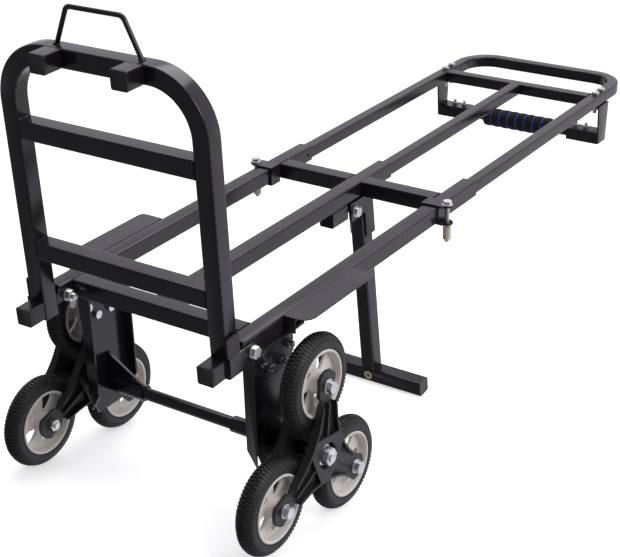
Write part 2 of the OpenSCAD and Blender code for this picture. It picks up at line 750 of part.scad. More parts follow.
module tyre(k) {
    color(RUBBER) wheel_frame(k) rotate_extrude($fn = 96) difference() {
        union() {
            translate([wheel_r - tyre_half, 0]) circle(tyre_half);
            translate([rim_r, -tyre_half + 3]) square([wheel_r - tyre_half - rim_r, 2 * tyre_half - 6]);
        }
        translate([0, -tyre_half - eps]) square([rim_r, 2 * tyre_half + 2 * eps]);
    }
}
module rim(k) {
    half = tyre_half - 3;
    color(RIM) wheel_frame(k) difference() {
        rotate_extrude($fn = 96) {
            translate([spacer_r + run_gap, -wheel_hub_half])
                square([16 - spacer_r - run_gap, 2 * wheel_hub_half]);
            translate([15, -3]) square([rim_r - 17, 6]);
            translate([rim_r - 4, -half]) square([4, 2 * half]);
        }
        for (a = [0:72:288]) rotate(a) translate([29.5, 0, -4]) cylinder(h = 8, r = 8.5);
    }
}
module star_inner_left() { star_inner(); }
module star_outer_left() { star_outer(); }
module wheel_axles_left() { wheel_axles(); }
module star_inner_right() { mirror([0, 1, 0]) star_inner(); }
module star_outer_right() { mirror([0, 1, 0]) star_outer(); }
module wheel_axles_right() { mirror([0, 1, 0]) wheel_axles(); }
module tyre_right(k) { mirror([0, 1, 0]) tyre(k); }
module rim_right(k) { mirror([0, 1, 0]) rim(k); }

outer_tube_left();
outer_tube_right();
centre_tube();
front_crossbar();
middle_crossbars();
guard_left();
guard_right();
clamps();
clamp_bolts();
clamp_sleeves();
side_plate_left();
side_plate_right();
frame_lugs();
side_plate_bolts();
axle();
axle_gusset();
axle_sleeves();
hub_nuts();
star_bushes();
leg_bracket();
leg_stop();
leg_pivot_bolt();
toe_hinge_bolts();
upper_hoop();
centre_slider();
far_crossbar();
handle_brackets();
bracket_bolts();
handle_bar();
handle_bar_bolts();
grip();
toe_hoop();
toe_crossbars();
toe_stubs();
toe_stub_caps();
toe_wire_handle();
toe_hinge_plates();
leg_post();
leg_foot();
leg_foot_caps();
leg_grommet();
star_inner_left();
star_outer_left();
wheel_axles_left();
star_inner_right();
star_outer_right();
wheel_axles_right();
tyre(0);  // tyre_left_1
rim(0);  // rim_left_1
tyre(1);  // tyre_left_2
rim(1);  // rim_left_2
tyre(2);  // tyre_left_3
rim(2);  // rim_left_3
tyre_right(0);  // tyre_right_1
rim_right(0);  // rim_right_1
tyre_right(1);  // tyre_right_2
rim_right(1);  // rim_right_2
tyre_right(2);  // tyre_right_3
rim_right(2);  // rim_right_3
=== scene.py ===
# %% [markdown]
# # A stair climbing trolley, laid down as a flat cart
#
# The real object is welded from square steel tube and painted gloss black. Its hard sizes come
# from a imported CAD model, so this lesson never measures anything itself: it loads that model as a
# frame, reads where the joints and faces are, and then builds better-looking pieces on top.

# %% Load the frame
import json
import math

import bmesh
import bpy
from mathutils import Matrix, Vector


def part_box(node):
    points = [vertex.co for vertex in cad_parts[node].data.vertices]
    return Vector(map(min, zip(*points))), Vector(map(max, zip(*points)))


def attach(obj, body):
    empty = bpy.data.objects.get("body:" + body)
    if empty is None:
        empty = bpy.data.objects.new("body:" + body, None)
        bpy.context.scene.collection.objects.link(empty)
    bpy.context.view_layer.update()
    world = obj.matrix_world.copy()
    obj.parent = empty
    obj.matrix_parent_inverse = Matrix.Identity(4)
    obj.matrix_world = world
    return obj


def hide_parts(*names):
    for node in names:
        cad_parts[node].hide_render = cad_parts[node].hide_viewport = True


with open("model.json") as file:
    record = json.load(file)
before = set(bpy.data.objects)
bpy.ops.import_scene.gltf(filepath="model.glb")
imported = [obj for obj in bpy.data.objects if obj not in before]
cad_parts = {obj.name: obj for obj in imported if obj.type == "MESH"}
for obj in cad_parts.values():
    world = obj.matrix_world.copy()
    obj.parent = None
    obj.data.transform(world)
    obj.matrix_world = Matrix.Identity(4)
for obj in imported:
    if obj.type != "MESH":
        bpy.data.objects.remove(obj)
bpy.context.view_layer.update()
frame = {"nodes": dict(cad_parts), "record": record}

record = frame["record"]
MM = 0.001

# %% [markdown]
# ## Two working frames
#
# The trolley's deck is pitched and its toe frame leans. Working out every corner in world
# coordinates would be slow and easy to get wrong. Instead each of the two gets a matrix, and a
# piece is modelled in plain millimetres beside its own assembly's origin.

# %% Matrices for the deck and the toe frame
joints = {j["name"]: j for j in record["behaviour"]["joints"]}
mounts = {m["name"]: m for m in record["mounts"]}


def frame_at(origin, along):
    """A frame at origin whose X points along, Y stays level and Z completes it, in millimetres."""
    x = Vector(along).normalized()
    y = Vector((0.0, 1.0, 0.0))
    turn = Matrix((x, y, x.cross(y))).transposed().to_4x4()
    return Matrix.Translation(origin) @ turn @ Matrix.Scale(MM, 4)


axle = Vector(joints["star_left_turn"]["pos_m"]) * Vector((1.0, 0.0, 1.0))
deck_up = Vector(mounts["deck_top"]["axis"])
deck_origin = axle + deck_up * (Vector(mounts["deck_top"]["pos_m"]) - axle).dot(deck_up)
DECK = frame_at(deck_origin, joints["frame_slide"]["axis"])
TOE = frame_at(joints["toe_hinge"]["pos_m"], mounts["toe_rest"]["axis"])
print("deck origin", [round(v, 4) for v in deck_origin])

# %% [markdown]
# ## Shader maths as Python
#
# A paint or a rubber is a small sum: a base value, a mask, a bit of noise. Drawing that sum with
# dozens of node calls hides it, so a link is wrapped in a class with +, - and *. Writing
# `0.2 + mask * 0.1` then adds the two Math nodes by itself.

# %% A wrapper for sockets
class Link:
    """One output socket, with its arithmetic and the reflected forms."""

    def __init__(self, paint, socket):
        self.paint, self.socket = paint, socket

    def math(self, operation, other=0.0):
        return self.paint.node("ShaderNodeMath", {0: self, 1: other}, operation=operation)

    def __add__(self, other):
        return self.math("ADD", other)

    def __mul__(self, other):
        return self.math("MULTIPLY", other)

    def __sub__(self, other):
        return self.math("SUBTRACT", other)

    def __rsub__(self, other):
        return self.paint.node("ShaderNodeMath", {0: other, 1: self}, operation="SUBTRACT")

    __radd__ = __add__
    __rmul__ = __mul__

    def steps(self, low, high):
        """0 below low, 1 above high, and smooth between."""
        inputs = {"Value": self, "From Min": low, "From Max": high}
        return self.paint.node("ShaderNodeMapRange", inputs, interpolation_type="SMOOTHSTEP")


print("sockets can be added, multiplied and subtracted")

# %% [markdown]
# ## One class for a material
#
# A material is a tree of nodes that ends in one shader. The nodes could be added one by one in the
# editor's way, but almost every finish here wants the same few: a noise, a mix of two colours and a
# bump. The class keeps the tree, and one method adds any node with its settings and inputs.

# %% A material and its nodes
class Paint:
    """A material and the one method that adds any node to it."""

    def __init__(self, name):
        self.material = bpy.data.materials.new(name)
        self.material.use_nodes = True
        self.tree = self.material.node_tree
        self.shader = self.tree.nodes["Principled BSDF"]

    def node(self, kind, inputs=None, output=0, **settings):
        node = self.tree.nodes.new(kind)
        for key, value in settings.items():
            setattr(node, key, value)
        for key, value in (inputs or {}).items():
            self.feed(node.inputs[key], value)
        return Link(self, node.outputs[output])

    def feed(self, socket, value):
        if isinstance(value, Link):
            self.tree.links.new(value.socket, socket)
        else:
            socket.default_value = value

    def set(self, **inputs):
        for key, value in inputs.items():
            self.feed(self.shader.inputs[key.replace("_", " ")], value)

    def place(self):
        return self.node("ShaderNodeTexCoord", output="Object")

    def noise(self, scale, detail=3.0):
        inputs = {"Vector": self.place(), "Scale": scale, "Detail": detail}
        return self.node("ShaderNodeTexNoise", inputs)

    def mix(self, amount, a, b):
        """Colour a where amount is 0, colour b where it is 1."""
        node = self.tree.nodes.new("ShaderNodeMix")
        node.data_type = "RGBA"
        for socket, value in ((0, amount), (6, a), (7, b)):
            self.feed(node.inputs[socket], value)
        return Link(self, node.outputs[2])

    def bump(self, height, distance, strength):
        inputs = {"Height": height, "Distance": distance, "Strength": strength}
        return self.node("ShaderNodeBump", inputs)


def rgb(r, g, b):
    return (r, g, b, 1.0)


print("shader helpers ready")

# %% [markdown]
# ## Black paint
#
# The tubes are sprayed with a black enamel that looks violet-grey where it faces a light and nearly
# black where it faces a dark room, so almost all of its colour is reflection. It has a faint
# orange-peel ripple, which breaks up reflections, and a little haze where hands and dust have been.
# The base is nearly black, and the ripple is a very shallow bump.

# %% Paint the steel
PAINT_GLOSS = 0.15


def black_paint():
    paint = Paint("black_paint")
    peel = paint.noise(260.0, 2.0)
    haze = paint.noise(9.0, 5.0).steps(0.42, 0.72)
    fine = paint.noise(900.0, 2.0)
    base = paint.mix(haze, rgb(0.0112, 0.0095, 0.0130), rgb(0.0185, 0.0160, 0.0210))
    paint.set(Base_Color=base, Roughness=PAINT_GLOSS + haze * 0.10 + fine * 0.04, IOR=1.50,
              Normal=paint.bump(peel + fine * 0.15, 0.00006, 0.5))
    return paint.material


finishes = {"black_paint": black_paint()}
print("painted the steel, roughness from", PAINT_GLOSS)

# %% [markdown]
# ## Zinc plate, castings and rubber
#
# Each of these is one base colour, one slow noise that shifts it, and one fine noise for its
# surface. Zinc plate is a bright, slightly blue metal, duller in patches. The star castings are
# matt and sandy. Tyres pick up grey dust on their tread.

# %% Mix the zinc, the casting and the rubber
def zinc_plate():
    paint = Paint("zinc_plate")
    tint = paint.noise(55.0, 4.0).steps(0.35, 0.7)
    grain = paint.noise(700.0, 3.0)
    color = paint.mix(tint, rgb(0.78, 0.79, 0.82), rgb(0.60, 0.60, 0.61))
    paint.set(Base_Color=color, Metallic=1.0, Roughness=0.26 + tint * 0.12 + grain * 0.08,
              Normal=paint.bump(grain, 0.00005, 0.4))
    return paint.material


def star_casting():
    paint = Paint("star_casting")
    sand = paint.noise(620.0, 4.0)
    cloud = paint.noise(22.0, 3.0).steps(0.35, 0.7)
    color = paint.mix(cloud, rgb(0.0075, 0.0075, 0.0080), rgb(0.015, 0.0145, 0.0145))
    paint.set(Base_Color=color, Roughness=0.42 + cloud * 0.12,
              Normal=paint.bump(sand, 0.00018, 0.6))
    return paint.material


def tyre_rubber():
    paint = Paint("tyre_rubber")
    dust = paint.noise(60.0, 6.0).steps(0.46, 0.74)
    pores = paint.noise(800.0, 3.0)
    color = paint.mix(dust * 0.4, rgb(0.0095, 0.0095, 0.0100), rgb(0.036, 0.034, 0.033))
    paint.set(Base_Color=color, Roughness=0.50 + dust * 0.2, Normal=paint.bump(pores, 0.00008, 0.5))
    return paint.material


finishes.update({"zinc_steel": zinc_plate(), "casting": star_casting(),
                 "tyre_rubber": tyre_rubber()})
print("finishes so far", ", ".join(finishes))

# %% [markdown]
# ## Plastics and foam
#
# The rims are off-white moulded plastic with some grime, the clamp sleeves are a yellower cream,
# and the tube plugs are black with a fine grain. They differ in colour and in how sharp their
# reflections are. Foam has no reflections to speak of, so its open cells are a deeper bump.

# %% Mix the plastics and the foam
def rim_plastic():
    paint = Paint("rim_plastic")
    grime = paint.noise(40.0, 5.0).steps(0.45, 0.75)
    fine = paint.noise(500.0, 2.0)
    color = paint.mix(grime * 0.45, rgb(0.80, 0.78, 0.74), rgb(0.55, 0.52, 0.48))
    paint.set(Base_Color=color, Roughness=0.38 + grime * 0.12, Normal=paint.bump(fine, 0.00005, 0.3))
    return paint.material


def cream_plastic():
    paint = Paint("cream_plastic")
    cloud = paint.noise(90.0, 3.0).steps(0.4, 0.7)
    color = paint.mix(cloud, rgb(0.74, 0.68, 0.52), rgb(0.62, 0.55, 0.40))
    paint.set(Base_Color=color, Roughness=0.4 + cloud * 0.1,
              Normal=paint.bump(paint.noise(600.0), 0.00004, 0.3))
    return paint.material


def cap_plastic():
    paint = Paint("cap_plastic")
    grain = paint.noise(750.0, 2.0)
    wear = paint.noise(35.0, 4.0).steps(0.45, 0.75)
    color = paint.mix(wear, rgb(0.014, 0.014, 0.015), rgb(0.032, 0.031, 0.031))
    paint.set(Base_Color=color, Roughness=0.36 + wear * 0.14, Normal=paint.bump(grain, 0.00008, 0.5))
    return paint.material


def grip_foam(name, color, worn):
    paint = Paint(name)
    cells = paint.noise(1100.0, 2.0)
    rubbed = paint.noise(50.0, 4.0).steps(0.45, 0.75)
    paint.set(Base_Color=paint.mix(rubbed, color, worn), Roughness=0.82 + rubbed * 0.1,
              Normal=paint.bump(cells, 0.0004, 0.7))
    return paint.material


foam_black = grip_foam("foam_black", rgb(0.0075, 0.0075, 0.0080), rgb(0.016, 0.015, 0.016))
foam_blue = grip_foam("foam_blue", rgb(0.050, 0.095, 0.70), rgb(0.070, 0.120, 0.75))
finishes.update({"rim_plastic": rim_plastic(), "cream_plastic": cream_plastic(),
                 "cap_plastic": cap_plastic(), "grip_foam": foam_black})
print("finishes", ", ".join(finishes))

# %% [markdown]
# ## Nuts that the spray gun caught
#
# The bolts through the side plates were fitted before painting. What stands outside a plate was
# sprayed black, with bare zinc where it rubs, and what lies inside stayed bright. Two materials
# would need each bolt cut in two, so one material asks how far out a point lies and picks between
# paint and zinc.

# %% Mix the oversprayed zinc
def oversprayed_zinc(plate_face):
    """Zinc, sprayed black beyond plate_face metres from the middle, and rubbed bare in places."""
    paint = Paint("oversprayed_zinc")
    side = paint.node("ShaderNodeSeparateXYZ", {0: paint.place()}, output="Y").math("ABSOLUTE")
    worn = paint.noise(170.0, 3.0).steps(0.44, 0.58)
    sprayed = side.steps(plate_face - 0.0005, plate_face + 0.0005) * (1.0 - worn)
    color = paint.mix(sprayed, rgb(0.74, 0.75, 0.78), rgb(0.014, 0.013, 0.015))
    paint.set(Base_Color=color, Metallic=1.0 - sprayed, Roughness=0.30 - sprayed * 0.12,
              Normal=paint.bump(paint.noise(600.0), 0.00005, 0.4))
    return paint.material


plate_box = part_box("side_plate_left")
plate_y = max(abs(corner[1]) for corner in plate_box)
plate_bolt_zinc = oversprayed_zinc(plate_y)
print("overspray starts", round(plate_y / MM, 1), "mm from the middle")

# %% [markdown]
# ## Turning a bmesh into a piece
#
# Every piece ends the same way: its mesh is put in place, its faces are turned outwards and shaded
# smooth except over real edges, it gets its finish, and it rides on a body. One function does all
# of that, so no piece can forget a step.

# %% Finish a piece
SMOOTH_ANGLE = math.radians(24.0)
PIECE_MERGE = 0.02 * MM
slot_of = {s["node"]: s["material_slot"] for s in record["subparts"]}
body_of = {node: body for body, nodes in record["behaviour"]["bodies"].items() for node in nodes}


def piece(name, bm, slot, body, replaces=(), place=None, material=None):
    if place is not None:
        bmesh.ops.transform(bm, matrix=place, verts=bm.verts)
    bmesh.ops.remove_doubles(bm, verts=bm.verts, dist=PIECE_MERGE)
    bmesh.ops.recalc_face_normals(bm, faces=bm.faces)
    mesh = bpy.data.meshes.new(name)
    bm.to_mesh(mesh)
    bm.free()
    mesh.shade_smooth()
    mesh.set_sharp_from_angle(angle=SMOOTH_ANGLE)
    mesh.materials.append(material or finishes[slot])
    obj = bpy.data.objects.new(name, mesh)
    bpy.context.scene.collection.objects.link(obj)
    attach(obj, body)
    if replaces:
        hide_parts(*replaces)
    return obj


# %% [markdown]
# ## Soft edges for the plain steel parts
#
# Sawn tube and folded plate have no knife edges: a file and a coat of paint leave a small radius
# that catches the light. The CAD solids have sharp ones. A copy of each solid is merged into
# clean faces and its sharp edges are bevelled by a fraction of a millimetre.

# %% Copy a CAD solid and soften its edges
SHARP = math.radians(32.0)
FLAT = math.radians(0.6)
SOLID_MERGE = 0.01 * MM


def solid_copy(node):
    """A merged bmesh of a CAD node, with its flat triangles joined into whole faces."""
    bm = bmesh.new()
    bm.from_mesh(frame["nodes"][node].data)
    bmesh.ops.remove_doubles(bm, verts=bm.verts, dist=SOLID_MERGE)
    bmesh.ops.dissolve_limit(bm, angle_limit=FLAT, verts=bm.verts, edges=bm.edges)
    return bm


def sharp_edges(bm):
    return [e for e in bm.edges if len(e.link_faces) == 2 and e.calc_face_angle(0.0) > SHARP]


def soften(bm, width, segments=2):
    """Bevels the sharp edges by width millimetres."""
    bmesh.ops.bevel(bm, geom=sharp_edges(bm), offset=width * MM, offset_type="OFFSET",
                    affect="EDGES", segments=segments, profile=0.5, material=-1, clamp_overlap=True)


def softened(node, width, material=None):
    bm = solid_copy(node)
    soften(bm, width)
    piece(node + "_soft", bm, slot_of[node], body_of[node], [node], material=material)


print("edges over", round(math.degrees(SHARP)), "degrees count as sharp")

# %% [markdown]
# ## Tubes and plates
#
# A tube's corners are rolled, so its radius is small. A cut and folded plate is filed by hand, so
# its edge is a little rounder. The two lists differ only in the width of the bevel.

# %% Soften the tubes and the plates
TUBE_EDGE, PLATE_EDGE = 0.4, 0.6
tubes = ["outer_tube_left", "outer_tube_right", "centre_tube", "front_crossbar", "middle_crossbars",
         "upper_hoop", "centre_slider", "far_crossbar", "toe_hoop", "toe_crossbars", "toe_stubs",
         "leg_post", "leg_foot", "leg_stop", "handle_bar"]
plates = ["guard_left", "guard_right", "clamps", "side_plate_left", "side_plate_right", "frame_lugs",
          "axle_gusset", "leg_bracket", "handle_brackets", "toe_hinge_plates"]
for node in tubes:
    softened(node, TUBE_EDGE)
for node in plates:
    softened(node, PLATE_EDGE)
print("softened", len(tubes) + len(plates), "nodes")

# %% [markdown]
# ## Chamfered bolts, nuts and castings
#
# Bolt heads and nuts are pressed with a chamfer round their corners, and a casting can't have a
# sharp edge at all, because the sand would crumble there. Both are the same operation with a
# different width, so the function above does them too.

# %% Chamfer the fasteners and round the castings
BOLT_EDGE, CAST_EDGE, SLEEVE_EDGE = 0.55, 0.9, 0.7
fasteners = ["clamp_bolts", "side_plate_bolts", "hub_nuts", "leg_pivot_bolt", "toe_hinge_bolts",
             "bracket_bolts", "handle_bar_bolts", "wheel_axles_left", "wheel_axles_right"]
castings = ["star_inner_left", "star_outer_left", "star_inner_right", "star_outer_right"]
sleeves = ["clamp_sleeves", "leg_grommet"]
for node in fasteners:
    softened(node, BOLT_EDGE, plate_bolt_zinc if node == "side_plate_bolts" else None)
for node in castings:
    softened(node, CAST_EDGE)
for node in sleeves:
    softened(node, SLEEVE_EDGE)
print("softened", len(fasteners) + len(castings) + len(sleeves), "more nodes")

# %% [markdown]
# ## Plugs in the tube ends
#
# Each open tube end has a push-in plastic plug. Its face has a thin raised border where it meets
# the tube, which shows as a pale line. Insetting the large face and pushing the middle in by half
# a millimetre makes that border.

# %% Recess the plug faces
PLUG_BORDER, PLUG_RECESS, PLUG_EDGE = 2.4 * MM, 0.5 * MM, 0.5
BROAD_SHARE = 0.8


def plugs(node):
    bm = solid_copy(node)
    largest = max(face.calc_area() for face in bm.faces)
    broad = [face for face in bm.faces if face.calc_area() > BROAD_SHARE * largest]
    for face in broad:
        bmesh.ops.inset_region(bm, faces=[face], thickness=PLUG_BORDER, depth=-PLUG_RECESS,
                               use_even_offset=True)
    soften(bm, PLUG_EDGE, segments=3)
    piece(node + "_moulded", bm, slot_of[node], body_of[node], [node])


for node in ("toe_stub_caps", "leg_foot_caps"):
    plugs(node)
    print(node, "recessed")

# %% [markdown]
# ## Reading a node in its own frame
#
# A node on the pitched deck has a slanted outline in world coordinates. Taking its vertices back
# into the deck's frame gives the plain box that the designer had in mind, in millimetres.

# %% Local boxes
def local_box(node, place):
    back = place.inverted()
    points = [back @ vertex.co for vertex in frame["nodes"][node].data.vertices]
    low = Vector(min(p[i] for p in points) for i in range(3))
    high = Vector(max(p[i] for p in points) for i in range(3))
    return low, high


grip_low, grip_high = local_box("grip", DECK)
print("grip", [round(v, 1) for v in grip_low], [round(v, 1) for v in grip_high])

# %% [markdown]
# ## Shapes that are turned
#
# Tyres, rims and the foam grip are all round about one axis, so each is an outline swept through a
# full circle. The outline is a short closed chain of points (radius, height), and the spin operator
# does the rest. A full turn needs its last copy merged into its first.

# %% A lathe
def lathe(bm, outline, steps, closed=True):
    """Sweeps an outline of (radius, height) points once round Z, in the given number of steps."""
    verts = [bm.verts.new((radius, 0.0, height)) for radius, height in outline]
    chain = verts + verts[:1] if closed else verts
    edges = [bm.edges.new(pair) for pair in zip(chain, chain[1:])]
    bmesh.ops.spin(bm, geom=verts + edges, cent=(0.0, 0.0, 0.0), axis=(0.0, 0.0, 1.0),
                   angle=math.tau, steps=steps, use_merge=True)


def mirrored(outline):
    """An outline that ends at height 0, followed by its mirror image below."""
    return outline + [(radius, -height) for radius, height in outline[-2::-1]]


def circle(centre_r, centre_h, half_r, half_h, count):
    """An outline round a point, half_r wide and half_h high to each side."""
    turns = [math.tau * i / count for i in range(count)]
    return [(centre_r + half_r * math.cos(a), centre_h + half_h * math.sin(a)) for a in turns]


print("lathe ready")

# %% [markdown]
# ## Foam grip with blue rings
#
# The carrying grip is a black foam sleeve. Seven blue rings are let into it at even steps, and the
# foam swells between them. The outline of the sleeve therefore rises and falls like a row of
# barrels, and each ring is a small turned band that lies in a valley.

# %% Turn the grip
RING_STEP = 19.0
RING_COUNT = 7
VALLEY = 1.7
BORE_R = 10.2
END_LENGTH, END_DROP = 4.0, 3.2
HALF_STEPS = 76
GRIP_SIDES = 64
grip_r = (grip_high.z - grip_low.z) / 2
grip_half = (grip_high.y - grip_low.y) / 2
grip_mid = (grip_low + grip_high) / 2
GRIP = DECK @ Matrix.Translation(grip_mid) @ Matrix.Rotation(math.radians(-90.0), 4, "X")
ring_heights = [RING_STEP * (i - (RING_COUNT - 1) / 2) for i in range(RING_COUNT)]


def foam_radius(height):
    """Full in the middle of a barrel, lower by VALLEY at a ring, and rounded at the two ends."""
    wave = abs(math.sin(math.pi * height / RING_STEP))
    end = max(0.0, abs(height) - (grip_half - END_LENGTH)) / END_LENGTH
    rounding = END_DROP * (1.0 - math.sqrt(max(0.0, 1.0 - end * end)))
    return grip_r - VALLEY * (1.0 - wave ** 0.6) - rounding


bm = bmesh.new()
heights = [grip_half * (i / HALF_STEPS - 1.0) for i in range(2 * HALF_STEPS + 1)]
skin = [(foam_radius(h), h) for h in heights]
lathe(bm, [(BORE_R, -grip_half)] + skin + [(BORE_R, grip_half)], GRIP_SIDES)
foam_piece = piece("grip_foam_sleeve", bm, "grip_foam", body_of["grip"], ["grip"], GRIP)

valley_r = grip_r - VALLEY
bm = bmesh.new()
for height in ring_heights:
    band = [(valley_r - 1.4, height - 1.7), (valley_r + 0.4, height - 1.5), (valley_r + 0.8, height),
            (valley_r + 0.4, height + 1.5), (valley_r - 1.4, height + 1.7)]
    lathe(bm, band, GRIP_SIDES)
piece("grip_rings", bm, "grip_foam", body_of["grip"], (), GRIP, material=foam_blue)
print("rings", len(ring_heights), "radius", round(grip_r, 1))

# %% [markdown]
# ## Tyres
#
# The small tyre is moulded rubber with a lug pattern: long blocks over both shoulders and three
# rows of short ones in the middle. The body is an oval turned about the axle and pressed flat
# against the rim. One lug is a bevelled cube, and seventy-two places round the wheel repeat it in
# five rows, so a lug has to stay very plain.

# %% Mould a tyre
LUGS = 72
LUG_DEPTH, LUG_EDGE = 3.6, 0.4
RIM_SEAT_R = 51.1
TYRE_MID, TYRE_HALF_R, TYRE_HALF_W = 58.5, 14.3, 15.3
BEAD_MID, BEAD_OUT, BEAD_R = 54.8, 14.1, 1.3
ROUND = 96

# One row of lugs a line: tilt in degrees, half steps of turn, length, width, top, slant in degrees.
LUG_ROWS = ((41.0, 0, 10.0, 3.2, 15.5, 8.0),
            (139.0, 1, 10.0, 3.2, 15.5, -8.0),
            (72.0, 0, 5.4, 3.6, 15.9, -28.0),
            (108.0, 1, 5.4, 3.6, 15.9, 28.0),
            (90.0, 1, 3.6, 2.8, 16.2, 0.0))


def lug(bm, turn, tilt, length, width, top, slant):
    """A block standing on the tyre, tilt degrees round from its side."""
    place = (Matrix.Rotation(turn, 4, "Z")
             @ Matrix.Translation((TYRE_MID, 0.0, 0.0))
             @ Matrix.Rotation(math.radians(tilt), 4, "Y")
             @ Matrix.Rotation(math.radians(slant), 4, "Z")
             @ Matrix.Translation((0.0, 0.0, top - LUG_DEPTH / 2))
             @ Matrix.Diagonal((length, width, LUG_DEPTH, 1.0)))
    return bmesh.ops.create_cube(bm, size=1.0, matrix=place)["verts"]


def tyre_mesh():
    bm = bmesh.new()
    lugs = []
    for i in range(LUGS):
        for tilt, half_steps, *size in LUG_ROWS:
            turn = math.tau * i / LUGS + half_steps * math.pi / LUGS
            lugs += lug(bm, turn, tilt, *size)
    edges = list({e for v in lugs for e in v.link_edges})
    bmesh.ops.bevel(bm, geom=edges, offset=LUG_EDGE, offset_type="OFFSET", affect="EDGES",
                    segments=1, profile=0.5, material=-1)
    oval = circle(TYRE_MID, 0.0, TYRE_HALF_R, TYRE_HALF_W, 40)
    lathe(bm, [(max(RIM_SEAT_R, radius), height) for radius, height in oval], ROUND)
    for side in (-1.0, 1.0):
        lathe(bm, circle(BEAD_MID, side * BEAD_OUT, BEAD_R, BEAD_R, 8), ROUND)
    return bm


print("a tyre has", LUGS, "lugs in each of", len(LUG_ROWS), "rows")

# %% [markdown]
# ## Rims
#
# The rim is an off-white moulding: a rounded lip that holds the tyre, a barrel, and a thin web with
# five windows between broad spokes. A flat disc of rings and sectors is turned first. Removing the
# sectors of each window and smoothing what is left of its border gives round corners, and solidify
# gives the web its thickness.

# %% Mould a rim
WEB_RINGS = (15.0, 20.5, 25.0, 30.0, 35.0, 40.5, 47.2)
WEB_SECTORS, WEB_THICKNESS, WEB_EDGE = 75, 5.0, 0.9
WINDOWS = 5
WINDOW_HALF = math.radians(16.0)
LIP = [(51.1, 13.0), (52.0, 14.2), (51.6, 15.3), (50.2, 15.9), (48.6, 15.4), (47.5, 13.8),
       (46.9, 9.0), (46.6, 0.0)]
HUB = [(7.3, 18.0), (13.6, 18.0), (15.0, 17.0), (16.6, 4.5), (16.6, 0.0)]


def in_window(co):
    turn = math.tau / WINDOWS
    off = (math.atan2(co.y, co.x) + turn / 2) % turn - turn / 2
    return WEB_RINGS[1] < co.to_2d().length < WEB_RINGS[-2] and abs(off) < WINDOW_HALF


def rim_mesh():
    bm = bmesh.new()
    lathe(bm, [(radius, 0.0) for radius in WEB_RINGS], WEB_SECTORS, closed=False)
    holes = [f for f in bm.faces if in_window(f.calc_center_median())]
    border = {v for f in holes for v in f.verts if any(o not in holes for o in v.link_faces)}
    bmesh.ops.delete(bm, geom=holes, context="FACES")
    border = [v for v in border if v.is_valid]
    for _ in range(2):
        bmesh.ops.smooth_vert(bm, verts=border, factor=0.5, use_axis_x=True, use_axis_y=True)
    bmesh.ops.solidify(bm, geom=bm.faces[:], thickness=WEB_THICKNESS)
    middle = sum(v.co.z for v in bm.verts) / len(bm.verts)
    bmesh.ops.translate(bm, verts=bm.verts, vec=(0.0, 0.0, -middle))
    bmesh.ops.bevel(bm, geom=sharp_edges(bm), offset=WEB_EDGE, offset_type="OFFSET",
                    affect="EDGES", segments=2, profile=0.5, material=-1)
    lathe(bm, mirrored(LIP), ROUND)
    lathe(bm, mirrored(HUB), ROUND // 2)
    return bm


print("a rim has", WINDOWS, "windows")

# %% [markdown]
# ## Six wheels
#
# All six wheels are alike, so one mesh could be shared and its objects moved. A finished piece has
# to keep its place in its mesh instead, so that patterns and joints find it where it is. The two
# meshes are therefore made again for each wheel and put round the middle of the wheel's CAD nodes,
# with Z along the axle and pointing away from the deck.

# %% Fit the six wheels
def wheel_place(node, out):
    """A frame in millimetres at the middle of a wheel, whose Z points outwards along Y."""
    low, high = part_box(node)
    centre = (Vector(low) + Vector(high)) / 2
    x, z = Vector((1.0, 0.0, 0.0)), Vector((0.0, out, 0.0))
    turn = Matrix((x, z.cross(x), z)).transposed().to_4x4()
    return Matrix.Translation(centre) @ turn @ Matrix.Scale(MM, 4)


for side, out in (("left", 1.0), ("right", -1.0)):
    for k in (1, 2, 3):
        tyre, rim = f"tyre_{side}_{k}", f"rim_{side}_{k}"
        place = wheel_place(tyre, out)
        piece(f"tread_{side}_{k}", tyre_mesh(), "tyre_rubber", body_of[tyre], [tyre], place)
        piece(f"moulded_rim_{side}_{k}", rim_mesh(), "rim_plastic", body_of[rim], [rim], place)
print("fitted 6 wheels with", LUGS * len(LUG_ROWS), "lugs each")

# %% [markdown]
# ## Weld beads
#
# The frame is welded where tubes meet, and the bead shows under the paint as a row of small
# overlapping ripples. A row of flattened spheres, each half sunk in the corner, gives that shape.
# They are spaced unevenly by a fixed rule, so every bead looks hand made but never changes.

# %% Shape a row and a ring of weld
BEAD_PITCH = 1.9
RING_BEADS = 14
CORNER_RADIUS = 3.0


def bead_row(bm, start, end, size):
    start, end = Vector(start), Vector(end)
    steps = max(2, round((end - start).length / BEAD_PITCH))
    for i in range(steps + 1):
        t = i / steps
        swell = size * (1.0 + 0.18 * math.sin(7.3 * i) + 0.1 * math.sin(2.9 * i + 1.0))
        place = Matrix.Translation(start.lerp(end, t)) @ Matrix.Diagonal((swell, swell, swell, 1.0))
        bmesh.ops.create_icosphere(bm, subdivisions=1, radius=1.0, matrix=place)


def bead_ring(bm, centre, radius, size):
    for i in range(RING_BEADS):
        a = math.tau * i / RING_BEADS
        at = Vector(centre) + Vector((radius * math.cos(a), radius * math.sin(a), 0.0))
        swell = size * (1.0 + 0.2 * math.sin(5.1 * i))
        bmesh.ops.create_icosphere(bm, subdivisions=1, radius=swell, matrix=Matrix.Translation(at))


def tube_end_beads(bm, low, high, y, size):
    """The four sides of a square tube's end that lands on a face at y."""
    x1, x2 = low.x + CORNER_RADIUS, high.x - CORNER_RADIUS
    z1, z2 = low.z + CORNER_RADIUS, high.z - CORNER_RADIUS
    for z in (low.z, high.z):
        bead_row(bm, (x1, y, z), (x2, y, z), size)
    for x in (low.x, high.x):
        bead_row(bm, (x, y, z1), (x, y, z2), size)


print("a bead every", BEAD_PITCH, "mm")

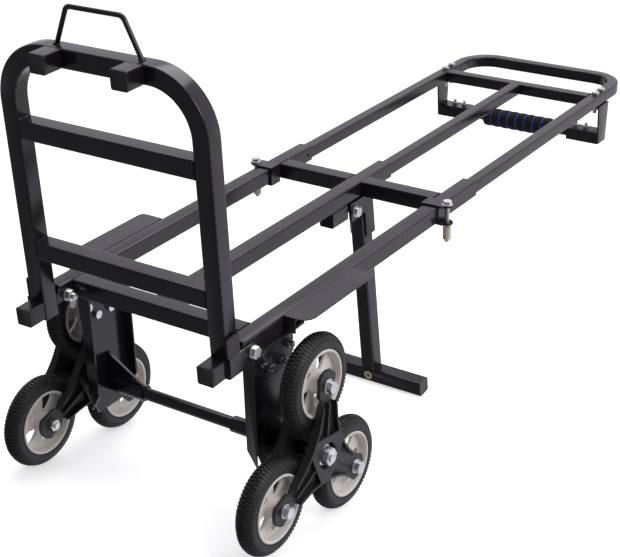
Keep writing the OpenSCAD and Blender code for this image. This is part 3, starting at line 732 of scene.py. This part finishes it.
# %% [markdown]
# ## Welds on the deck
#
# A crossbar is sawn square and welded all round where its ends meet the long tubes. Its box in the
# deck's frame gives both ends, so the beads need no numbers of their own but their size.

# %% Weld the crossbars of the deck
DECK_BEAD, SLIDER_BEAD = 1.3, 1.1
bm = bmesh.new()
for node in ("front_crossbar", "middle_crossbars"):
    low, high = local_box(node, DECK)
    for y in (low.y, high.y):
        tube_end_beads(bm, low, high, y, DECK_BEAD)
piece("deck_welds", bm, "black_paint", body_of["front_crossbar"], (), DECK)

bm = bmesh.new()
low, high = local_box("far_crossbar", DECK)
for y in (low.y, high.y):
    tube_end_beads(bm, low, high, y, SLIDER_BEAD)
piece("far_crossbar_welds", bm, "black_paint", body_of["far_crossbar"], (), DECK)
print("welded the deck's crossbars")

# %% [markdown]
# ## Welds on the toe frame
#
# The toe frame carries four kinds of joint: the crossbars' ends, the two feet of the wire handle,
# the seams of the hinge plates and the sides of the four stubs. All of them move together when the
# frame folds, so they are one piece.

# %% Weld the toe frame
TOE_BEAD, WIRE_BEAD, PLATE_BEAD, STUB_BEAD = 1.3, 1.5, 1.6, 1.2
WIRE_R, WIRE_RING_R, WIRE_RING_RISE = 3.6, 3.9, 0.6
PLATE_DEPTH, PLATE_INSET = 3.4, 2.0
SEAM_OFFSET = 0.3
UPPER_FROM = 200.0
bm = bmesh.new()
low, high = local_box("toe_crossbars", TOE)
tube = high.x - low.x
for y in (low.y, high.y):
    for z in (low.z, high.z - tube):
        tube_end_beads(bm, Vector((low.x, 0, z)), Vector((high.x, 0, z + tube)), y, TOE_BEAD)

wire_low, wire_high = local_box("toe_wire_handle", TOE)
wire_x = (wire_low.x + wire_high.x) / 2
for y in (wire_low.y + WIRE_R, wire_high.y - WIRE_R):
    bead_ring(bm, (wire_x, y, wire_low.z + WIRE_RING_RISE), WIRE_RING_R, WIRE_BEAD)

plate_low, plate_high = local_box("toe_hinge_plates", TOE)
seam_z = plate_high.z + SEAM_OFFSET
seam_x1, seam_x2 = plate_low.x + PLATE_INSET, plate_low.x + tube - CORNER_RADIUS
for side in (-1.0, 1.0):
    y = side * (plate_high.y - PLATE_DEPTH)
    bead_row(bm, (seam_x1, y, seam_z), (seam_x2, y, seam_z), PLATE_BEAD)

stub_points = [TOE.inverted() @ v.co for v in frame["nodes"]["toe_stubs"].data.vertices]
upper_ys = [p.y for p in stub_points if p.z > UPPER_FROM and p.y > 0.0]
stub_low, stub_high = local_box("toe_stubs", TOE)
hoop_high = local_box("toe_hoop", TOE)[1]
upper_stub = ((min(upper_ys) + max(upper_ys)) / 2, hoop_high.z)
lower_stub = (hoop_high.y - tube / 2, stub_low.z + tube)
seam_x = stub_high.x - SEAM_OFFSET
for side in (-1.0, 1.0):
    for mid, top in (upper_stub, lower_stub):
        for edge in (-1.0, 1.0):
            y = side * mid + edge * tube / 2
            z1, z2 = top - tube + CORNER_RADIUS, top - CORNER_RADIUS
            bead_row(bm, (seam_x, y, z1), (seam_x, y, z2), STUB_BEAD)
piece("toe_welds", bm, "black_paint", body_of["toe_crossbars"], (), TOE)
print("welded the toe frame; wire handle", [round(v, 1) for v in (*wire_low, *wire_high)])

# %% [markdown]
# ## The rest of the CAD nodes
#
# The axle, its hidden sleeves and bushes, and the wire handle have the right shape already. They
# keep their CAD mesh and only get the finish that their material slot names. A node that a piece
# replaces is hidden, so painting it too does no harm and leaves none out.

# %% Repaint the CAD nodes
for node, obj in frame["nodes"].items():
    for place in obj.material_slots:
        place.material = finishes[slot_of[node]]
print("repainted", len(frame["nodes"]), "nodes")

# %% [markdown]
# ## Floor, light and camera
#
# A black product is mostly a mirror, so what stands round it matters more than its own colour. The
# room here is bright ahead of the camera and dark behind it, which makes the faces turned to the
# camera nearly black and the top faces grey. The white floor would light every lower face, so it
# is hidden from reflections and from bounced light, and the sky's lower half stands in for it. The
# floor glows a little, which keeps it paler than a lit sheet and leaves only soft shadows on it.

# %% Set up the sky and the floor
FLOOR_HALF = 40.0
FLOOR_GLOW = 0.52
SKY_DARK, SKY_RISE = 0.19, 0.69


class Sky(Paint):
    """The same helper for the world's nodes."""

    def __init__(self, name):
        self.world = bpy.data.worlds.new(name)
        self.world.use_nodes = True
        self.tree = self.world.node_tree
        self.shader = self.tree.nodes["Background"]


def studio_floor():
    bm = bmesh.new()
    bmesh.ops.create_grid(bm, x_segments=1, y_segments=1, size=FLOOR_HALF)
    mesh = bpy.data.meshes.new("floor")
    bm.to_mesh(mesh)
    bm.free()
    obj = bpy.data.objects.new("floor", mesh)
    bpy.context.scene.collection.objects.link(obj)
    paint = Paint("floor_sheet")
    cloud = paint.noise(1.5, 3.0)
    sheet = paint.mix(cloud, rgb(0.88, 0.88, 0.88), rgb(0.91, 0.91, 0.91))
    paint.set(Base_Color=sheet, Roughness=0.7, Emission_Color=rgb(1.0, 1.0, 1.0),
              Emission_Strength=FLOOR_GLOW)
    mesh.materials.append(paint.material)
    obj.visible_glossy = False
    obj.visible_diffuse = False


studio_floor()
sky = Sky("studio")
direction = sky.node("ShaderNodeTexCoord", output="Generated")
ahead = sky.node("ShaderNodeSeparateXYZ", {0: direction}, output="X")
sky.set(Color=rgb(0.96, 0.93, 1.0), Strength=ahead.steps(-0.55, 0.45) * SKY_RISE + SKY_DARK)
bpy.context.scene.world = sky.world
print("sky from", SKY_DARK, "to", round(SKY_DARK + SKY_RISE, 2))

# %% [markdown]
# ## Two panels
#
# A sky alone gives no highlights. Two large square area lights do: one in front and to the side
# puts a sheen on the faces and nuts, and one overhead lights the tops of the tubes. They are
# large, so their shadows stay soft.

# %% Hang the panels
def panel(name, location, aim, size, power):
    light = bpy.data.lights.new(name, "AREA")
    light.shape = "RECTANGLE"
    light.size, light.size_y = size
    light.energy = power
    obj = bpy.data.objects.new(name, light)
    obj.location = location
    sight = Vector(aim) - Vector(location)
    obj.rotation_euler = sight.to_track_quat("-Z", "Y").to_euler()
    bpy.context.scene.collection.objects.link(obj)


panel("key_panel", (-0.6, -2.8, 2.4), (0.0, 0.0, 0.3), (1.8, 1.8), 42.0)
panel("top_panel", (0.4, 0.4, 3.0), (0.0, 0.0, 0.2), (2.4, 2.4), 45.0)
print("panels hung at the front and overhead")

# %% [markdown]
# ## Camera
#
# The trolley is seen from behind its toe frame, from a little above and to the right, with a
# slightly rolled camera. A fairly long lens keeps the far end from shrinking too much.

# %% Place the camera
CAMERA_AT = (-2.0831, -1.2397, 1.0425)
CAMERA_TURN = (71.113, -3.191, -56.178)
camera_data = bpy.data.cameras.new("camera")
camera_data.lens = 83.2
camera_data.sensor_width = 36.0
camera = bpy.data.objects.new("camera", camera_data)
camera.location = CAMERA_AT
camera.rotation_euler = [math.radians(angle) for angle in CAMERA_TURN]
bpy.context.scene.collection.objects.link(camera)
bpy.context.scene.camera = camera
bpy.context.scene.view_settings.view_transform = "Standard"
print("camera at", [round(v, 3) for v in camera.location])
